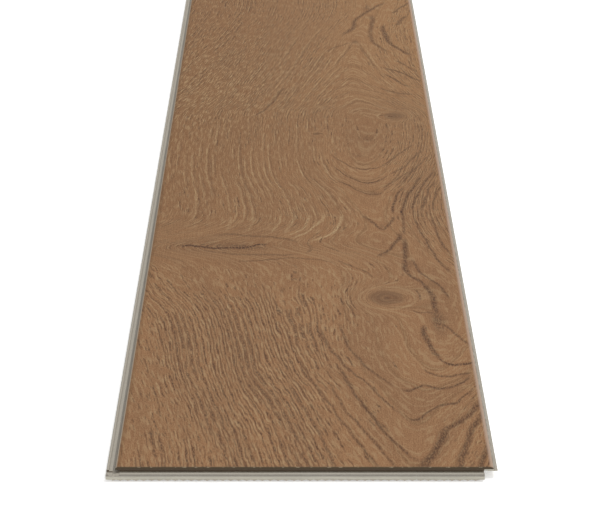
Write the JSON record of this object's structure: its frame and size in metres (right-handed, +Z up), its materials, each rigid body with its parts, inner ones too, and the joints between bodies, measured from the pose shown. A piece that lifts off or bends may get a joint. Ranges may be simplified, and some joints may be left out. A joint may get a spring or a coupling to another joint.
{
  "type": "vinyl floor plank",
  "caption": "Click-lock rigid-core vinyl floor plank with a brown oak print, bevelled edges, milled tongue and groove sides and a thin foam underlay.",
  "frame": {"origin": "centre of the face that one laid plank covers, at the underside of the foam underlay", "axes": "+Z up out of the walking face, +Y along the plank from the groove end to the hook end, +X across it from the groove side to the tongue side"},
  "size_m": [0.1864, 1.2249, 0.005],
  "materials": {
    "printed_vinyl": "oak print under an embossed matte wear layer",
    "stone_plastic": "milled grey filled vinyl",
    "underlay_foam": "closed-cell foam with an embossed underside"
  },
  "bodies": {
    "root": {"decor_face": "printed_vinyl", "rigid_core": "stone_plastic", "foam_underlay": "underlay_foam"}
  },
  "joints": []
}
